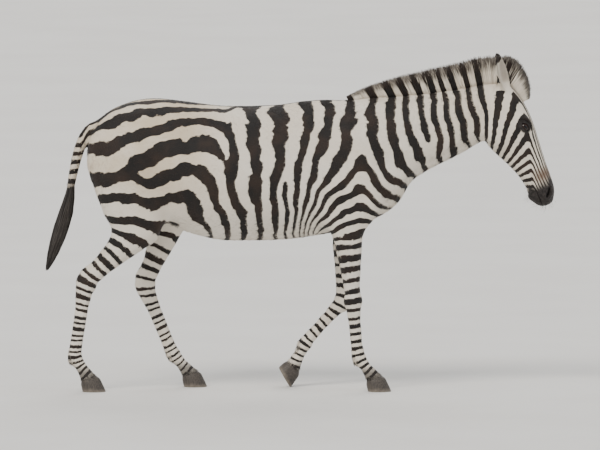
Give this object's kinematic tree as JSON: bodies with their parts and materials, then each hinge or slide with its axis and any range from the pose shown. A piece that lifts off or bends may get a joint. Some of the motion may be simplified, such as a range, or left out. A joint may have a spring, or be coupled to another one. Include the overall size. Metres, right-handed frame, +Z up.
{
  "type": "plains zebra",
  "caption": "Life-size still model of a plains zebra in mid walk with its head low, striped coat, standing mane and tufted tail.",
  "frame": {"origin": "on the ground, under the middle of the model's box", "axes": "+X towards the head, the way the zebra walks; +Y towards its left side; +Z up"},
  "size_m": [2.2234, 0.5292, 1.4697],
  "materials": {
    "coat": "short hair in cream and brown-black stripes",
    "mane_hair": "coarse standing hair, striped, with brown tips",
    "tail_hair": "long coarse dark hair",
    "horn": "dull dark hoof horn",
    "eye": "wet and glossy, dark brown"
  },
  "bodies": {
    "root": {"trunk": "coat", "neck": "coat", "head": "coat", "ear_left": "coat", "ear_right": "coat", "foreleg_left": "coat", "foreleg_right": "coat", "hind_leg_left": "coat", "hind_leg_right": "coat", "tail": "coat", "mane": "mane_hair", "tail_tuft": "tail_hair", "eye_left": "eye", "eye_right": "eye", "fore_hoof_left": "horn", "fore_hoof_right": "horn", "hind_hoof_left": "horn", "hind_hoof_right": "horn"}
  },
  "joints": []
}
